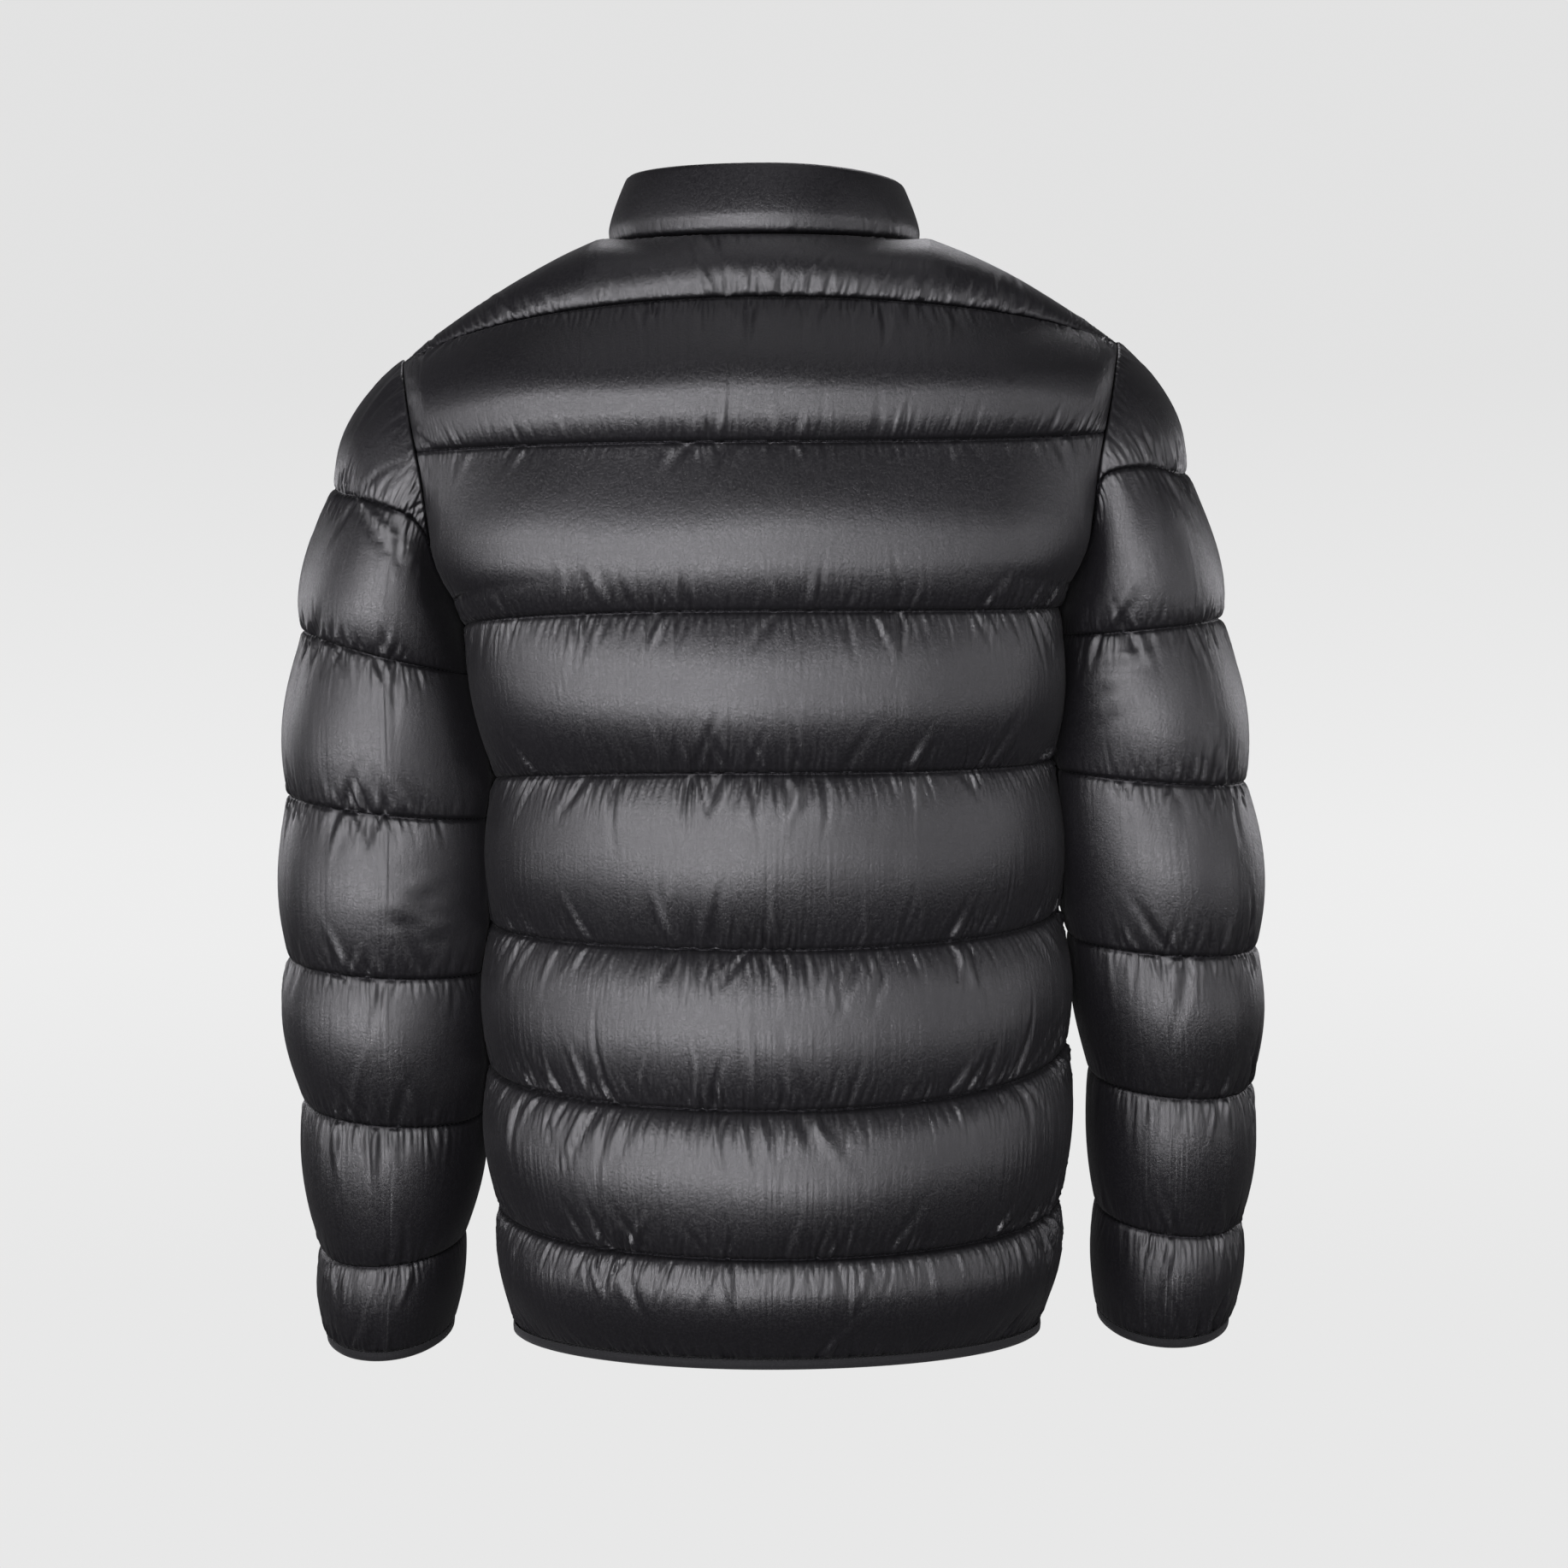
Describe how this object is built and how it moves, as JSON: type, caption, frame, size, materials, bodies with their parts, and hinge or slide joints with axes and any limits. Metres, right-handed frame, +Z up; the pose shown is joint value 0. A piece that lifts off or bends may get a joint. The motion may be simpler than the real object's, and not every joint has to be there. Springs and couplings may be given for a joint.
{
  "type": "puffer jacket",
  "caption": "Quilted puffer jacket with a stand collar, full-length front zip, bound hem and bound cuffs, filled out as if worn and open inside.",
  "frame": {"origin": "between the shoulders, midway between the two points where the neckline meets the shoulder seams, at the height where the jacket rests on the wearer", "axes": "+Z up, -Y out of the front, +X towards the wearer's left"},
  "size_m": [0.6368, 0.2788, 0.761],
  "materials": {
    "shell": "satin woven nylon",
    "trim": "matte knitted elastic",
    "zip": "matte woven tape",
    "slider": "semi-gloss black enamel"
  },
  "bodies": {
    "jacket": {"back_panel": "shell", "back_yoke": "shell", "collar": "shell", "front_left": "shell", "front_right": "shell", "sleeve_left": "shell", "sleeve_right": "shell", "hem_binding": "trim", "cuff_binding_left": "trim", "cuff_binding_right": "trim", "zip_tape_left": "zip", "zip_tape_right": "zip", "zip_slider": "slider"},
    "pull": {"zip_pull": "slider"}
  },
  "joints": [
    {"name": "pull_hinge", "type": "hinge", "parent": "jacket", "child": "pull", "pos_m": [0, -0.09122, -0.02872], "axis": [-1, 0, 0], "range_deg": [0, 150]}
  ]
}
